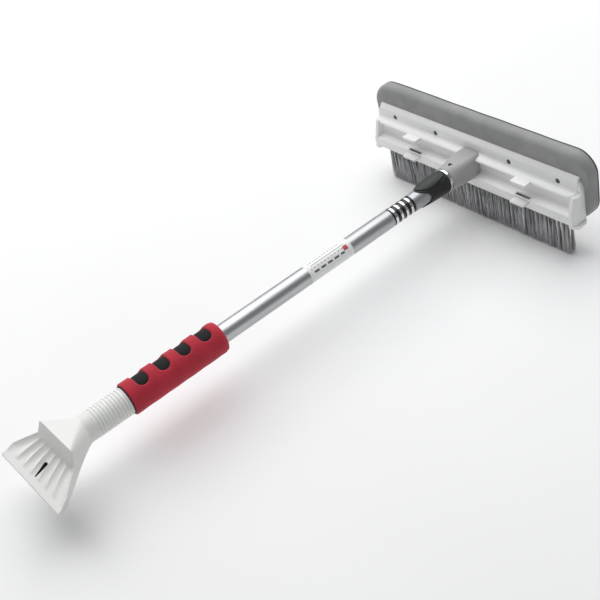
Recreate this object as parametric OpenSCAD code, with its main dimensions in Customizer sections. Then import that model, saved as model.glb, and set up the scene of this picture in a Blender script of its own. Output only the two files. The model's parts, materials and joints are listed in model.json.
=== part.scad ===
// Snow broom: ice scraper, gripped tube handle and a turning head with foam pad and bristles.
// Axes: X runs along the handle from scraper to head, Y across the head, Z up, bristles point down.
// Lengths along the handle are measured from the lower end of the grip, on the handle's own axis.

/* [Handle] */
// Outer diameter of the handle tube
tube_d = 19; // [18:0.5:21]
// Wall thickness of the handle tube
tube_wall = 1; // [0.8:0.1:1.5]
// Length of tube seen between the grip's lower end and the ferrule
tube_reach = 322; // [280:1:400]
// Length of the two-layer grip
grip_len = 106; // [100:1:120]
// Outer diameter of the grip's coloured layer
grip_d = 32.4; // [30:0.2:36]
// Diameter where the two foam layers of the grip meet
grip_core_d = 28; // [26:0.2:29]
// Distance between finger windows
finger_pitch = 23.5; // [20:0.5:25]
// Angle that the row of finger windows is turned about the tube
finger_turn = 13; // [0:1:20]
// Start of the blank label sleeve
label_start = 212; // [150:1:240]
// Length of the label sleeve
label_len = 54; // [30:1:60]

/* [Scraper] */
// Width of the scraping edge
blade_w = 108; // [90:1:115]
// Distance from the grip to the scraping edge
blade_reach = 108; // [104:1:112]
// Width of the hood's upper front edge
hood_w = 58; // [50:1:60]
// Number of stiffening ribs on the blade
rib_count = 6; // [4:2:8]
// Diameter of the ringed neck that holds the tube
scraper_neck_d = 27.6; // [26:0.2:28]

/* [Neck and latch] */
// Diameter of the spindle that the head turns on
spindle_d = 17; // [16:0.1:17.4]
// Radial running clearance of the spindle
spindle_gap = 0.05; // [0.02:0.01:0.1]
// Largest diameter of the soft neck cover
cover_d = 24.8; // [24:0.2:26]
// Angle the thumb latch travels when pressed
latch_press = 4.5; // [3:0.5:5]

/* [Head] */
// Length of the moulded head frame
frame_w = 286; // [276:1:296]
// Length of the foam pad
pad_w = 301; // [294:1:312]
// Height of the foam pad
pad_h = 73; // [66:1:76]
// Thickness of the foam pad
pad_t = 14; // [10:0.5:16]
// Length of the bristle rows
bristle_w = 260; // [250:1:264]
// Distance from the handle's axis down to the bristle tips
tip_drop = 61; // [50:1:70]
// Distance of the inner pad screws from the middle
screw_y_in = 52; // [48:1:56]
// Distance of the outer pad screws from the middle
screw_y_out = 115; // [110:1:120]

/* [Hidden] */
$fn = 64;
eps = 0.01;

tube_r = tube_d / 2;
tube_bore_r = tube_r - tube_wall;
plug_r = tube_bore_r - 0.02;

// scraper stations along X
neck_depth = 34;
neck_start = -46;
hood_front = -70;
blade_edge = -blade_reach;
blade_drop = 17;
scraper_neck_r = scraper_neck_d / 2;

// ferrule and neck stations along X
ferrule_x = tube_reach;
ferrule_len = 29;
ring_count = 4;
ring_pitch = 7;
ring_len = 3;
neck_x = ferrule_x + ferrule_len;
cover_x = neck_x + 9;
trim_x = cover_x + 38;
trim_len = 3.2;
mouth_x = trim_x + trim_len + 0.2;
spindle_r = spindle_d / 2;
spindle_end = mouth_x + 28.6;
cover_r = cover_d / 2;
oval_r = 6.2;
oval_x = cover_x + 5.4;

// latch: hinge pin, lever, nose and the groove that the nose runs in
pin_x = cover_x + 6;
pin_z = 5.5;
pin_d = 2.5;
lever_floor = 6.2;
cavity_floor = 2.6;
arm_w = 5;
arm_top = 7.9;
arm_bottom = 5.9;
groove_x = mouth_x + 5.6;
groove_len = 6;
groove_r = 11;
nose_top = 10.3;
nose_gap = 0.8;

// head stations along X, all worked out from the socket's mouth
root_x = mouth_x + 27.6;
lip_x = root_x;
wall_x = root_x + 10;
land_x = root_x + 13;
flange_x = root_x + 14.6;
carrier_x = root_x + 18;
carrier_t = 3;
pad_front = carrier_x + pad_t;
screw_z = 16.7;
frame_top = 27;
frame_bottom = -24;
ledge_z = -8.6;
lip_bottom = -20.3;
root_half_w = 13.2;
root_top = 13.8;
root_bottom = -12;
socket_screw_ys = [-20, 20];
socket_screw_zs = [-2.5, 9.5];
tab_y = 77.5;
tab_w = 19;
block_top = -13.6;
block_bottom = -22;
clip_top = -11.2;
row_count = 3;
row_pitch = 3.5;
row_t = 3;
row_x = lip_x + 6;
pad_mid_z = 12.6;
ridge_end_y = frame_w / 2 - 4.5;
lip_end_y = frame_w / 2 - 2;
end_wall_y = frame_w / 2 - 6.5;
foot_y = frame_w / 2 + 3.5;

// the origin is under the middle of the whole broom, level with the bristle tips
mid_x = (blade_edge + pad_front) / 2;

// ---------- shared shapes ----------

// moves a part from the handle's own axis to the broom's frame
module placed() {
    translate([-mid_x, 0, tip_drop]) children();
}

// a solid of revolution about X, from points given as [radius, x]
module revolve_x(points) {
    rotate([0, 90, 0]) rotate_extrude() polygon(points);
}

// a round bar along X
module bar_x(x0, x1, r) {
    translate([x0, 0, 0]) rotate([0, 90, 0]) cylinder(h = x1 - x0, r = r);
}

// a sleeve along X
module sleeve_x(x0, x1, r_out, r_in) {
    revolve_x([[r_in, x0], [r_out, x0], [r_out, x1], [r_in, x1]]);
}

// an outline given as [x, z], drawn out along Y about the middle
module across_y(width) {
    rotate([90, 0, 0]) linear_extrude(width, center = true) children();
}

// an outline given as [y, z], drawn out along X
module along_x(x0, x1) {
    translate([x0, 0, 0]) rotate([90, 0, 90]) linear_extrude(x1 - x0) children();
}

// a rectangle with round corners, given by its limits
module round_rect(y0, y1, z0, z1, r) {
    translate([y0 + r, z0]) square([y1 - y0 - 2 * r, z1 - z0]);
    translate([y0, z0 + r]) square([y1 - y0, z1 - z0 - 2 * r]);
    for (y = [y0 + r, y1 - r], z = [z0 + r, z1 - r])
        translate([y, z]) circle(r);
}

// ---------- scraper ----------

// half-width of the scraper's plan at station x: waisted at the neck, flared to the edge
function scraper_half_w(x) =
    let (t = (x - neck_start) / (blade_edge - neck_start))
    13.6 + (blade_w / 2 - 13.6) * (t < 0.8 ? 1.15 * pow(t / 0.8, 1.15) * 0.8 : 0.92 + 0.4 * (t - 0.8));

scraper_stations = [for (i = [0:12]) neck_start + (blade_edge - neck_start) * i / 12];

// height of the blade's upper face at station x
function blade_top(x) = -2 - (blade_drop - 4.4) * (x - hood_front) / (blade_edge - hood_front);

module scraper_plan() {
    polygon(concat(
        [for (x = scraper_stations) [x, scraper_half_w(x)]],
        [for (i = [12:-1:0]) [scraper_stations[i], -scraper_half_w(scraper_stations[i])]]
    ));
}

// raised wall that runs along one side of the scraper
module scraper_side_wall() {
    polygon(concat(
        [for (x = scraper_stations) [x, scraper_half_w(x)]],
        [for (i = [12:-1:0]) [scraper_stations[i], scraper_half_w(scraper_stations[i]) - 2.6]]
    ));
}

module blade_plate() {
    intersection() {
        across_y(blade_w + 20) polygon([
            [hood_front + 6, blade_top(hood_front + 6)],
            [blade_edge, blade_top(blade_edge)],
            [blade_edge, -blade_drop],
            [blade_edge + 4, -blade_drop - 0.4],
            [hood_front + 6, blade_top(hood_front + 6) - 3.8]
        ]);
        translate([0, 0, -40]) linear_extrude(80) scraper_plan();
    }
}

module side_walls() {
    for (side = [0, 1]) mirror([0, side, 0]) intersection() {
        translate([0, 0, -40]) linear_extrude(80) scraper_side_wall();
        across_y(blade_w + 20) polygon([
            [neck_start - 4, -3],
            [hood_front, 1.5],
            [blade_edge + 3, blade_top(blade_edge) + 1.2],
            [blade_edge, blade_top(blade_edge)],
            [blade_edge, -blade_drop],
            [hood_front, -9],
            [neck_start - 4, -11]
        ]);
    }
}

// one rib, fanning out from the hood's foot toward the scraping edge
module blade_rib(step) {
    start_y = step * 8.6;
    end_y = step * 14.6;
    rib_len = blade_reach + hood_front - 6;
    turn = atan2(end_y - start_y, rib_len);
    fall = blade_top(blade_edge) - blade_top(hood_front);
    translate([hood_front - 1, start_y, 0]) rotate([0, 0, 180 - turn]) across_y(2.6) polygon([
        [0, 6.5],
        [8, 2.2],
        [rib_len - 8, 1.6 + fall * (rib_len - 8) / (rib_len + 6)],
        [rib_len, fall * rib_len / (rib_len + 6) - 2.4],
        [rib_len, fall * rib_len / (rib_len + 6) - 4],
        [0, -4]
    ]);
}

module hood_shell(inset) {
    hull() {
        translate([neck_start + inset, 0, 0]) rotate([0, 90, 0])
            cylinder(h = 1, r = scraper_neck_r - 0.2 - inset, $fn = 32);
        along_x(hood_front + inset, hood_front + inset + 1) polygon([
            [-hood_w / 2 + inset, 14.2 - inset], [hood_w / 2 - inset, 14.2 - inset],
            [hood_w / 2 + 3 - inset, -7 - 4 * inset], [-hood_w / 2 - 3 + inset, -7 - 4 * inset]
        ]);
    }
}

module hood_foot() {
    across_y(hood_w + 4) polygon([
        [hood_front + 1, 14.2], [hood_front, 14.2], [hood_front - 6, -1.5],
        [hood_front - 6, -6], [hood_front + 1, -6]
    ]);
}

module hang_slot() {
    r = 2.4;
    x_wide = -88.5;
    x_tip = -100;
    tilt = asin((r - 0.7) / (x_wide - x_tip));
    translate([0, 0, -30]) linear_extrude(40) {
        translate([x_wide, 0]) circle(r);
        translate([x_tip, 0]) circle(0.7);
        polygon([
            [x_wide - r * sin(tilt), r * cos(tilt)], [x_tip - 0.7 * sin(tilt), 0.7 * cos(tilt)],
            [x_tip - 0.7 * sin(tilt), -0.7 * cos(tilt)], [x_wide - r * sin(tilt), -r * cos(tilt)]
        ]);
    }
}

// ringed neck: shallow grooves all the way along the part that stays in sight
module scraper_neck() {
    groove_pitch = 3.2;
    grooves = 11;
    revolve_x(concat(
        [[0, neck_start], [scraper_neck_r - 0.2, neck_start]],
        [for (i = [0:grooves - 1]) let (x = -37 + i * groove_pitch) each [
            [scraper_neck_r, x], [scraper_neck_r, x + 1.9],
            [scraper_neck_r - 0.6, x + 2.2], [scraper_neck_r - 0.6, x + 2.9]
        ]],
        [[scraper_neck_r, -1.4], [scraper_neck_r, -0.1], [0, -0.1]]
    ));
}

module scraper_head() {
    color("white") placed() difference() {
        union() {
            difference() {
                union() {
                    hood_shell(0);
                    hood_foot();
                }
                hood_shell(2.6);
            }
            blade_plate();
            side_walls();
            for (i = [0:rib_count - 1]) blade_rib(i - (rib_count - 1) / 2);
            scraper_neck();
            bar_x(-neck_depth, 24, plug_r);
        }
        hang_slot();
        sleeve_x(-neck_depth, 1, tube_r, plug_r);
        translate([14, 0, 0]) rotate([90, 0, 0]) cylinder(h = 40, r = 2, center = true);
    }
}

module scraper_rivet() {
    color("silver") placed() intersection() {
        translate([14, 0, 0]) rotate([90, 0, 0]) cylinder(h = tube_d, r = 2, center = true);
        bar_x(0, 30, tube_r - 0.02);
    }
}

// ---------- handle ----------

module handle_tube() {
    color("lightgray") placed() difference() {
        sleeve_x(-neck_depth, ferrule_x, tube_r, tube_bore_r);
        translate([14, 0, 0]) rotate([90, 0, 0]) cylinder(h = 40, r = 2, center = true);
    }
}

module tube_label() {
    color("whitesmoke") placed() sleeve_x(label_start, label_start + label_len, tube_r + 0.15, tube_r);
}

module grip_inner() {
    color("dimgray") placed() sleeve_x(0.2, grip_len, grip_core_d / 2, tube_r);
}

// finger windows go through the coloured layer only, in a row along the top
module finger_window(x) {
    r = 6.2;
    reach = 7;
    rotate([-finger_turn, 0, 0]) translate([x, 0, 5]) linear_extrude(20) {
        for (y = [-reach, reach]) translate([0, y]) circle(r);
        square([2 * r, 2 * reach], center = true);
    }
}

module grip_outer() {
    color("crimson") placed() difference() {
        sleeve_x(0, grip_len, grip_d / 2, grip_core_d / 2);
        for (i = [0:3]) finger_window(19.5 + i * finger_pitch);
    }
}

// ---------- ferrule and neck ----------

module neck_rivet_bar(length) {
    translate([ferrule_x + 2 + ring_pitch + ring_len / 2, 0, 0]) rotate([90, 0, 0])
        cylinder(h = length, r = 1.3, center = true);
}

module ferrule_collar() {
    color("black") placed() difference() {
        union() {
            bar_x(ferrule_x - 22, ferrule_x, plug_r);
            bar_x(ferrule_x, neck_x, tube_r - 0.4);
        }
        bar_x(ferrule_x + 4, neck_x + 1, 7);
        neck_rivet_bar(30);
    }
}

module ferrule_ring(i) {
    x = ferrule_x + 2 + (i - 1) * ring_pitch;
    color("silver") placed() revolve_x([
        [tube_r - 0.4, x], [tube_r + 0.05, x], [tube_r + 0.3, x + 0.5],
        [tube_r + 0.3, x + ring_len - 0.5], [tube_r + 0.05, x + ring_len], [tube_r - 0.4, x + ring_len]
    ]);
}

// outline of the thumb latch in plan: a leaf, pointed at the tube and broad in the middle
function leaf_w(t) = 8.4 * sin(142 * pow(t, 0.7));

module latch_plan(grow) {
    tip = cover_x + 0.5 - grow;
    end = trim_x - 1.4 + 2 * grow;
    steps = 12;
    side = [for (i = [0:steps]) let (t = i / steps) [tip + (end - tip) * t, i == 0 ? 0 : leaf_w(t) + grow]];
    polygon(concat(side, [for (i = [steps:-1:1]) [side[i][0], -side[i][1]]]));
}

// space in the neck that the latch sinks into
module latch_cavity() {
    translate([0, 0, cavity_floor]) linear_extrude(20) latch_plan(0.35);
    translate([trim_x - 2, -arm_w / 2 - 0.4, 1.4])
        cube([groove_x + groove_len + 1.2 - trim_x + 2, arm_w + 0.8, 10]);
}

module pin_hole() {
    translate([pin_x, 0, pin_z]) rotate([90, 0, 0]) cylinder(h = 30, r = pin_d / 2, center = true);
}

module neck_core() {
    color("silver") placed() difference() {
        revolve_x([
            [0, ferrule_x + 4.2], [6.98, ferrule_x + 4.2], [6.98, neck_x], [tube_r + 0.1, neck_x],
            [tube_r + 0.4, cover_x + 14], [8.5, cover_x + 14], [8.5, trim_x], [spindle_r, trim_x],
            [spindle_r, spindle_end - 1], [spindle_r - 1, spindle_end], [0, spindle_end]
        ]);
        latch_cavity();
        pin_hole();
        neck_rivet_bar(30);
    }
}

// the cut that bares the silver core at the sides, between a pointed petal above and one below
module side_oval() {
    rim = 1.5;
    petal_w = 8.3;
    difference() {
        across_y(60) {
            translate([oval_x, 0]) scale([oval_r, petal_w]) circle(1);
            translate([cover_x - 2, -13]) square([oval_x - cover_x + 2, 26]);
        }
        for (side = [0, 1]) mirror([0, 0, side]) linear_extrude(20) latch_plan(rim);
    }
}

module neck_cover() {
    color([0.1, 0.1, 0.1]) placed() difference() {
        revolve_x([
            [tube_r + 0.1 + 0.3 * 9 / 23, cover_x], [tube_r + 0.9, cover_x], [11, cover_x + 6],
            [11.7, cover_x + 15], [12.2, cover_x + 25], [cover_r, cover_x + 34], [cover_r, trim_x],
            [8.5, trim_x], [8.5, cover_x + 14], [tube_r + 0.4, cover_x + 14]
        ]);
        side_oval();
        latch_cavity();
        pin_hole();
    }
}

module neck_trim_ring() {
    color("silver") placed() revolve_x([
        [spindle_r, trim_x], [cover_r, trim_x], [cover_r + 0.4, trim_x + 0.8],
        [cover_r + 0.4, trim_x + trim_len - 0.6], [cover_r, trim_x + trim_len], [spindle_r, trim_x + trim_len]
    ]);
}

// cross rivet that holds the neck in the ferrule, under the second ring
module neck_rivet() {
    color("silver") placed() intersection() {
        neck_rivet_bar(30);
        bar_x(ferrule_x, neck_x, tube_r - 0.42);
    }
}

module latch_pin() {
    color("silver") placed() translate([pin_x, 0, pin_z]) rotate([90, 0, 0])
        cylinder(h = 16.4, r = pin_d / 2, center = true);
}

module latch_spring() {
    color("gray") placed() translate([cover_x + 27, 0, cavity_floor]) difference() {
        cylinder(h = lever_floor - cavity_floor, r = 2.2);
        translate([0, 0, -1]) cylinder(h = 10, r = 1.5);
    }
}

module thumb_latch() {
    color("darkslategray") placed() difference() {
        union() {
            intersection() {
                translate([0, 0, lever_floor]) linear_extrude(12) latch_plan(0);
                revolve_x([
                    [0, cover_x - 1], [11.2, cover_x - 1], [12, cover_x + 6], [12.9, cover_x + 16],
                    [13, cover_x + 26], [12.6, cover_x + 37.5], [0, cover_x + 37.5]
                ]);
            }
            translate([pin_x - 2.4, -2.6, 3.6]) cube([4.8, 5.2, lever_floor - 3.6 + 1]);
            translate([trim_x - 3, -arm_w / 2, arm_bottom])
                cube([groove_x + groove_len - nose_gap - trim_x + 3, arm_w, arm_top - arm_bottom]);
            translate([groove_x + nose_gap, -2, arm_bottom])
                cube([groove_len - 2 * nose_gap, 4, nose_top - arm_bottom]);
        }
        translate([pin_x, 0, pin_z]) rotate([90, 0, 0])
            cylinder(h = 30, r = pin_d / 2 + 0.03, center = true);
    }
}

// ---------- head ----------

module root_outline(grow) {
    round_rect(-root_half_w - grow, root_half_w + grow, root_bottom - grow, root_top + grow, 5);
}

module at_socket_screws(x) {
    for (y = socket_screw_ys, z = socket_screw_zs) translate([x, y, z]) rotate([0, 90, 0]) children();
}

module socket_flange(x_end) {
    along_x(flange_x, x_end) round_rect(-25, 25, -7, 14, 3);
}

module head_socket() {
    color("darkgray") placed() difference() {
        union() {
            hull() {
                translate([mouth_x, 0, 0]) rotate([0, 90, 0]) cylinder(h = 4, r = 13, $fn = 32);
                along_x(root_x - 1, root_x) root_outline(0);
            }
            along_x(root_x, flange_x) root_outline(0);
            socket_flange(carrier_x - 0.2);
        }
        bar_x(mouth_x - 1, spindle_end + 0.4, spindle_r + spindle_gap);
        bar_x(groove_x, groove_x + groove_len, groove_r);
        for (side = [0, 180]) rotate([side, 0, 0]) translate([0, 0, 6]) linear_extrude(14)
            polygon([[groove_x + 0.4, 0], [groove_x + groove_len - 0.6, 3], [groove_x + groove_len - 0.6, -3]]);
        at_socket_screws(flange_x) cylinder(h = 20, r = 1.25, center = true);
    }
}

module socket_screws() {
    color("gray") placed() at_socket_screws(flange_x - 3)
        cylinder(h = 3 + carrier_x - 0.2 - flange_x, r = 1.25);
}

// section of the frame as [x, z]: screw land, overhanging ridge, recess, ledge and lip
module frame_section() {
    polygon([
        [carrier_x, frame_top],
        [carrier_x - 2, frame_top],
        [land_x + 0.6, frame_top - 4],
        [land_x, frame_top - 6.5],
        [land_x, screw_z - 3.2],
        [land_x - 2.2, screw_z - 5.2],
        [lip_x + 5.6, 10.4],
        [lip_x + 4.6, 9.2],
        [lip_x + 5.2, 7.6],
        [wall_x - 1, 6.2],
        [wall_x, 3.5],
        [wall_x, -4],
        [wall_x - 1.6, -7],
        [lip_x + 1.2, ledge_z],
        [lip_x, ledge_z - 1.2],
        [lip_x, lip_bottom + 1],
        [lip_x + 1, lip_bottom],
        [lip_x + 2.6, lip_bottom],
        [lip_x + 2.6, ledge_z - 2.6],
        [carrier_x - 2.2, ledge_z - 2.6],
        [carrier_x - 2.2, frame_bottom],
        [carrier_x, frame_bottom]
    ]);
}

// hollow behind the ridge and the recess, open toward the pad carrier
module frame_hollow() {
    polygon([
        [carrier_x + 1, frame_top - 3], [carrier_x - 1.2, frame_top - 3], [land_x + 2.2, frame_top - 7],
        [land_x + 2, screw_z - 4], [lip_x + 9.6, 9], [wall_x + 2.2, 6.5], [wall_x + 2.2, -5],
        [wall_x + 3.4, -6.2], [carrier_x + 1, -6.2]
    ]);
}

module pad_screw_place(i) {
    y = i < 2 ? (i == 0 ? screw_y_out : screw_y_in) : (i == 2 ? -screw_y_in : -screw_y_out);
    translate([land_x, y, screw_z]) rotate([0, 90, 0]) children();
}

module ridge_tab(y, z0, z1, x0, x1) {
    translate([x0, y - tab_w / 2, z0]) cube([x1 - x0, tab_w, z1 - z0]);
}

// plan of the land and ridge, with round ends that run back to the flange
module upper_plan() {
    r = 8;
    front = lip_x + 4.6;
    hull() {
        for (y = [-ridge_end_y + r, ridge_end_y - r]) translate([front + r, y]) circle(r);
        translate([carrier_x - 1, -ridge_end_y]) square([1, 2 * ridge_end_y]);
    }
}

// a slab between two places on Y, given by its outline as [x, z]
module slab_y(y0, y1) {
    translate([0, y1, 0]) rotate([90, 0, 0]) linear_extrude(y1 - y0) children();
}

// closes one end of the recess, from the ridge down to the lip
module end_wall() {
    hull() {
        slab_y(end_wall_y, frame_w / 2 - 3) polygon([
            [lip_x, lip_bottom], [lip_x, ledge_z - 1.2], [lip_x + 5.4, 9.8],
            [carrier_x, 12], [carrier_x, lip_bottom]
        ]);
        slab_y(end_wall_y, frame_w / 2) polygon([
            [lip_x + 4, lip_bottom], [lip_x + 4, ledge_z - 1.2], [lip_x + 8.5, 9],
            [carrier_x, 11], [carrier_x, lip_bottom]
        ]);
    }
}

// round foot under one end wall, a little proud of it
module end_foot() {
    translate([0, 0, lip_bottom - 2.3]) linear_extrude(2.6) hull() {
        translate([lip_x + 6.5, foot_y - 6.5]) circle(6.5);
        translate([carrier_x - 5, foot_y - 5.5]) circle(5);
        translate([lip_x, end_wall_y]) square([carrier_x - lip_x, 1]);
    }
}

// the ridge, recess and lip as one bent sheet, on the flange that backs it
module frame_shell() {
    difference() {
        intersection() {
            across_y(frame_w) frame_section();
            union() {
                translate([0, 0, 5.6]) linear_extrude(frame_top) upper_plan();
                along_x(lip_x - 10, wall_x + 3.4) round_rect(-lip_end_y, lip_end_y, frame_bottom, 6, 2);
                along_x(wall_x + 3.4, carrier_x) round_rect(-frame_w / 2, frame_w / 2, frame_bottom, frame_top, 14);
            }
        }
        across_y(frame_w - 44) frame_hollow();
    }
}

module head_frame() {
    color("white") placed() difference() {
        union() {
            frame_shell();
            for (side = [0, 1]) mirror([0, side, 0]) {
                end_wall();
                end_foot();
            }
            for (i = [0:3]) pad_screw_place(i) translate([0, 0, 1]) cylinder(h = carrier_x - land_x - 1, r = 3.6);
            at_socket_screws(wall_x + 1) cylinder(h = flange_x - wall_x - 1, r = 2.8);
            for (y = [-tab_y, tab_y]) ridge_tab(y, 7.6, 10.2, lip_x - 3.8, land_x - 2);
        }
        along_x(lip_x - 20, carrier_x + 1) root_outline(0);
        socket_flange(carrier_x + 1);
        for (y = [-tab_y, tab_y]) {
            ridge_tab(y, ledge_z - 4, ledge_z + 4, lip_x + 0.9, lip_x + 4.3);
            ridge_tab(y, ledge_z - 2.8, ledge_z - 0.9, lip_x + 0.9, lip_x + 11);
            ridge_tab(y, block_top - 0.2, clip_top + 0.2, lip_x - 1, lip_x + 4);
        }
        for (i = [0:3]) pad_screw_place(i) {
            translate([0, 0, -1]) cylinder(h = 20, r = 1.5);
            translate([0, 0, -1]) cylinder(h = 2.4, r = 2.9);
        }
        at_socket_screws(flange_x - 3) cylinder(h = 10, r = 1.25);
    }
}

// stiff plate let into the back of the foam, hidden by the frame, that the pad screws bite into
module carrier_plan(grow) {
    round_rect(-frame_w / 2 + 8 - grow, frame_w / 2 - 8 + grow, -16 - grow, 22.5 + grow, 6);
}

module pad_carrier() {
    color("gray") placed() difference() {
        along_x(carrier_x, carrier_x + carrier_t) carrier_plan(0);
        for (i = [0:3]) pad_screw_place(i) translate([0, 0, 1]) cylinder(h = 20, r = 1.5);
    }
}

module foam_pad() {
    color("slategray") placed() difference() {
        along_x(carrier_x, pad_front) round_rect(-pad_w / 2, pad_w / 2,
            pad_mid_z - pad_h / 2, pad_mid_z + pad_h / 2, 22);
        along_x(carrier_x - 1, carrier_x + carrier_t) carrier_plan(0);
    }
}

module pad_screw(i) {
    color([0.15, 0.15, 0.15]) placed() pad_screw_place(i - 1) difference() {
        union() {
            translate([0, 0, 0.2]) cylinder(h = 1.2, r = 2.6);
            translate([0, 0, 1]) cylinder(h = carrier_x + carrier_t - land_x - 1, r = 1.5);
        }
        for (turn = [0, 90]) rotate([0, 0, turn]) translate([-1.8, -0.35, 0]) cube([3.6, 0.7, 0.8]);
    }
}

// base strip that holds the tufts, with two finger clips reaching out through the lip
module bristle_block() {
    color("whitesmoke") placed() {
        along_x(lip_x + 2.9, carrier_x - 2.4)
            round_rect(-bristle_w / 2 - 2, bristle_w / 2 + 2, block_bottom, block_top, 2);
        for (y = [-tab_y, tab_y]) {
            translate([lip_x - 8.5, y - tab_w / 2 + 0.5, block_top])
                cube([12.4, tab_w - 1, clip_top - block_top]);
            translate([lip_x + 2.9, y - tab_w / 2 + 0.5, block_top - 1]) cube([1, tab_w - 1, 2]);
        }
    }
}

module bristle_row(i) {
    color([0.2, 0.2, 0.22]) placed()
        translate([row_x + (i - 1) * row_pitch - row_t / 2, -bristle_w / 2, -tip_drop])
            cube([row_t, bristle_w, tip_drop + block_bottom]);
}

scraper_head();
scraper_rivet();
handle_tube();
tube_label();
grip_inner();
grip_outer();
ferrule_collar();
for (i = [1:ring_count]) ferrule_ring(i);
neck_core();
neck_cover();
neck_trim_ring();
neck_rivet();
latch_pin();
latch_spring();
thumb_latch();
head_socket();
socket_screws();
head_frame();
pad_carrier();
foam_pad();
for (i = [1:4]) pad_screw(i);
bristle_block();
for (i = [1:row_count]) bristle_row(i);
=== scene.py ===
"""Snow broom: camera, light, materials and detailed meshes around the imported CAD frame."""

import json
import math
import random

import bmesh
import bpy
from mathutils import Matrix, Vector


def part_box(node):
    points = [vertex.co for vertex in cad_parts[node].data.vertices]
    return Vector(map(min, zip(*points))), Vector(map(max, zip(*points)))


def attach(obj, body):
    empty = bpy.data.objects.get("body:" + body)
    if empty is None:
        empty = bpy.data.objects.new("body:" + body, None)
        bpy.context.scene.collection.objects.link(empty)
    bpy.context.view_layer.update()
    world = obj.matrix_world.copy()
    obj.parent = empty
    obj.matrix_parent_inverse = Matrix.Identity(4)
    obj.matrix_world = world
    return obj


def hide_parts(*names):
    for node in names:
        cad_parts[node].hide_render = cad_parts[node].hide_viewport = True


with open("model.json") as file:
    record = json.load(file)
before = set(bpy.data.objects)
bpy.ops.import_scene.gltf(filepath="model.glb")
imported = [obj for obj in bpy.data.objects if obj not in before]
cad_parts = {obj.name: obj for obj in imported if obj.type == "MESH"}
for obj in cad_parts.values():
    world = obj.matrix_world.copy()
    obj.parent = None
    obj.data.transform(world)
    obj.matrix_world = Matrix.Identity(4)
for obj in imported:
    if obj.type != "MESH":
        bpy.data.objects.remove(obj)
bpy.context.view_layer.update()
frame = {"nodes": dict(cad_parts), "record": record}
MM = 0.001
TAU = 2 * math.pi

# ---------- measures read from the frame ----------

grip_low, grip_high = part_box("grip_outer")
core_low, core_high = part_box("grip_inner")
tube_low, tube_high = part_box("handle_tube")
label_low, label_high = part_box("tube_label")
collar_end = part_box("ferrule_collar")[1].x
pad_low, pad_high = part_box("foam_pad")
carrier_low, carrier_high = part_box("pad_carrier")

AXIS_Z = (tube_low.z + tube_high.z) / 2
GRIP_X = grip_low.x
GRIP_R = (grip_high.y - grip_low.y) / 2
CORE_R = (core_high.y - core_low.y) / 2
TUBE_R = (tube_high.y - tube_low.y) / 2

# finger windows of the grip: rounded slots across the tube, turned a little toward +Y
WINDOW_COUNT = 4
WINDOW_FIRST = 19.5 * MM
WINDOW_PITCH = 23.5 * MM
WINDOW_R = 6.2 * MM
WINDOW_STRAIGHT = 8.9 * MM
WINDOW_TURN = GRIP_R * math.radians(13)

# scraper, in millimetres: stations along X, then sizes
EDGE_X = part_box("scraper_head")[0].x / MM
HOOD_BACK, HOOD_FRONT, HOOD_FOOT = EDGE_X + 62, EDGE_X + 38, EDGE_X + 32
RIB_END = EDGE_X + 6
BLADE_HALF = 54.0
NECK_R = 13.6
HOOD_TOP = 14.2
SHELL_T = 2.3
RIB_HEIGHT = 5.8
RIB_PITCH_BACK, RIB_PITCH_FRONT = 8.6, 14.6
EDGE_ROUND = 0.9
SLOT_WIDE, SLOT_TIP = (EDGE_X + 19.5, 2.4), (EDGE_X + 8, 0.7)


# ---------- camera, stage and lights ----------

def add_camera():
    """The camera looks down at the broom from the scraper's side, rolled a little."""
    azimuth, elevation, roll = (math.radians(a) for a in (29.43, 37.68, 16.0))
    flat = Vector((math.sin(azimuth), math.cos(azimuth), 0))
    forward = flat * math.cos(elevation) - Vector((0, 0, math.sin(elevation)))
    level = forward.cross(Vector((0, 0, 1))).normalized()
    over = level.cross(forward)
    right = level * math.cos(roll) - over * math.sin(roll)
    up = right.cross(forward)
    camera = bpy.data.cameras.new("camera")
    camera.lens = 68.12
    camera.sensor_width = 36
    camera.clip_end = 20
    obj = bpy.data.objects.new("camera", camera)
    turn = Matrix((right, up, -forward)).transposed()
    place = Vector((GRIP_X - 0.2280, -0.7555, AXIS_Z + 0.6493))
    obj.matrix_world = Matrix.Translation(place) @ turn.to_4x4()
    bpy.context.scene.collection.objects.link(obj)
    bpy.context.scene.camera = obj


def add_area_light(name, place, target, size, power):
    """A white disk light at place that faces target."""
    light = bpy.data.lights.new(name, "AREA")
    light.shape = "DISK"
    light.size = size
    light.energy = power
    obj = bpy.data.objects.new(name, light)
    obj.location = place
    aim = (Vector(target) - Vector(place)).to_track_quat("-Z", "Y")
    obj.rotation_euler = aim.to_euler()
    bpy.context.scene.collection.objects.link(obj)


def add_stage():
    """A white floor under a wide overhead softbox, a small side light and a weak even surround."""
    bpy.ops.mesh.primitive_plane_add(size=12, location=(0, 0, -0.0005))
    floor = bpy.context.object
    floor.name = "floor"
    floor.data.materials.append(plain_floor())
    world = bpy.data.worlds.new("world")
    world.use_nodes = True
    sky = world.node_tree.nodes["Background"]
    sky.inputs["Color"].default_value = (0.93, 0.96, 1.0, 1)
    sky.inputs["Strength"].default_value = 0.20
    bpy.context.scene.world = world
    bpy.context.scene.view_settings.view_transform = "Standard"
    add_area_light("overhead", (0.6, 0.8, 2.3), (0.0, 0.1, 0), 3.8, 82)
    add_area_light("side", (-0.3, 1.3, 0.9), (-0.05, 0, 0.05), 0.6, 2.0)


# ---------- materials ----------

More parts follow.
